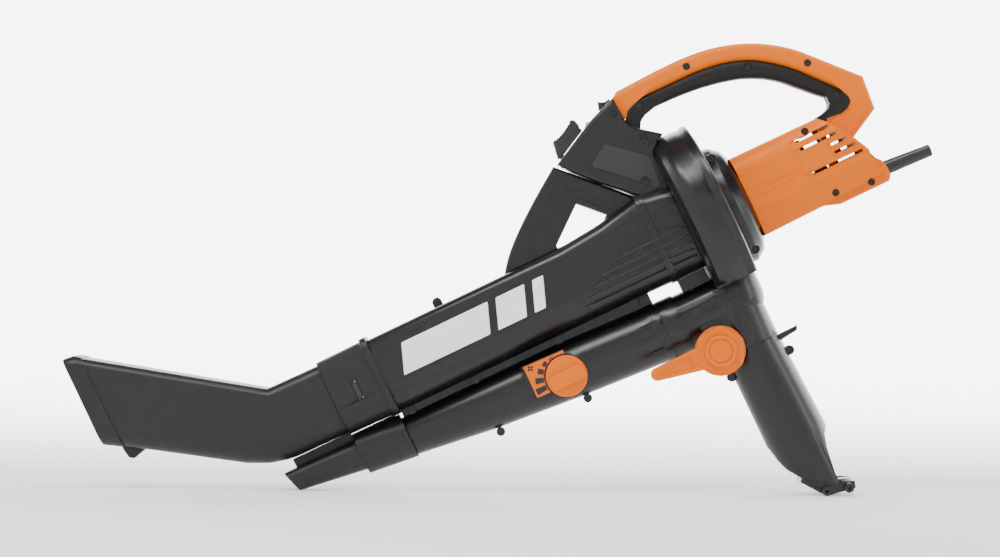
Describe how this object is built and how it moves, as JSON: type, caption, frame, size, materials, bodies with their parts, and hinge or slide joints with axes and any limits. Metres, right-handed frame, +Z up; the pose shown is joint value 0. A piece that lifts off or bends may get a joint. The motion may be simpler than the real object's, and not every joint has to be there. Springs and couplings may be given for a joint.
{
  "type": "leaf blower",
  "caption": "Corded electric leaf blower and vacuum with a bent suction nozzle, blower tube, orange motor housing, loop handles, mode lever and air dial.",
  "frame": {"origin": "centre of the bounding box's underside, where the bag foot and the blower tip stand", "axes": "+Z up, -X towards the nozzle mouth, +Y towards the machine's right side"},
  "size_m": [1.08, 0.23, 0.5622],
  "materials": {
    "orange_shell": "moulded, satin gloss",
    "orange_control": "moulded, satin gloss",
    "grip_rubber": "matt soft overmould",
    "boot_rubber": "satin flexible PVC",
    "black_shell": "fine-grained satin",
    "black_nozzle": "fine-grained satin",
    "black_control": "satin",
    "label_film": "printed film",
    "black_screw": "black oxide",
    "steel": "turned",
    "lamination": "varnished laminations",
    "copper": "enamelled copper",
    "carbon": "pressed carbon",
    "inner_plastic": "moulded"
  },
  "bodies": {
    "housing": {"bag_foot": "black_shell", "blower_tip": "black_nozzle", "blower_tube_left": "black_shell", "blower_tube_right": "black_shell", "brush_holders": "copper", "carbon_brushes": "carbon", "cord_boot": "boot_rubber", "cord_clamp": "inner_plastic", "dial_label": "label_film", "discharge_tube_left": "black_shell", "discharge_tube_right": "black_shell", "duct_left": "black_shell", "duct_right": "black_shell", "fan_casing_front": "black_shell", "fan_casing_rear": "black_shell", "field_coils": "copper", "front_bearing": "steel", "handle_grip_left": "grip_rubber", "handle_grip_right": "grip_rubber", "handle_screws": "black_screw", "handle_shell_left": "orange_shell", "handle_shell_right": "orange_shell", "inlet_guard": "steel", "inlet_neck": "black_shell", "loop_handle_left": "black_shell", "loop_handle_right": "black_shell", "motor_flange": "black_shell", "motor_housing_left": "orange_shell", "motor_housing_right": "orange_shell", "motor_screws": "black_screw", "nozzle_collar": "black_nozzle", "nozzle_lip": "black_nozzle", "pivot_pins": "black_screw", "rear_bearing": "steel", "side_panels": "black_control", "snap_tabs": "black_control", "stator_core": "lamination", "switch_housing_left": "black_shell", "switch_housing_right": "black_shell", "switch_module": "inner_plastic", "tube_screws": "black_screw", "vac_nozzle_left": "black_nozzle", "vac_nozzle_right": "black_nozzle", "vac_tube_left": "black_shell", "vac_tube_right": "black_shell"},
    "rotor": {"motor_shaft": "steel", "armature_core": "lamination", "commutator": "copper", "cooling_fan": "inner_plastic", "impeller": "inner_plastic", "impeller_nut": "steel"},
    "mode_lever": {"mode_lever": "orange_control", "lever_cap": "orange_control", "lever_shaft": "steel", "diverter_flap": "inner_plastic"},
    "air_dial": {"speed_dial": "orange_control", "dial_spindle": "steel", "throttle_plate": "inner_plastic"},
    "power_rocker": {"power_rocker": "black_control"},
    "tube_latch": {"tube_latch": "black_control"}
  },
  "joints": [
    {"name": "rotor_spin", "type": "hinge", "parent": "housing", "child": "rotor", "pos_m": [0.30618, 0, 0.36951], "axis": [0.8984, 0, 0.4392], "continuous": true},
    {"name": "mode_lever_turn", "type": "hinge", "parent": "housing", "child": "mode_lever", "pos_m": [0.27423, 0, 0.17915], "axis": [0, -1, 0], "range_deg": [0, 90]},
    {"name": "air_dial_turn", "type": "hinge", "parent": "housing", "child": "air_dial", "pos_m": [0.08458, 0, 0.1461], "axis": [0, -1, 0], "range_deg": [-115, 0]},
    {"name": "power_rocker_tilt", "type": "hinge", "parent": "housing", "child": "power_rocker", "pos_m": [0.1307, 0, 0.48075], "axis": [0, -1, 0], "range_deg": [0, 12]},
    {"name": "tube_latch_pull", "type": "hinge", "parent": "housing", "child": "tube_latch", "pos_m": [0.07964, 0, 0.41261], "axis": [0, -1, 0], "range_deg": [0, 15], "stiffness_Nm_per_rad": 0.2, "springref_deg": -20.05}
  ]
}
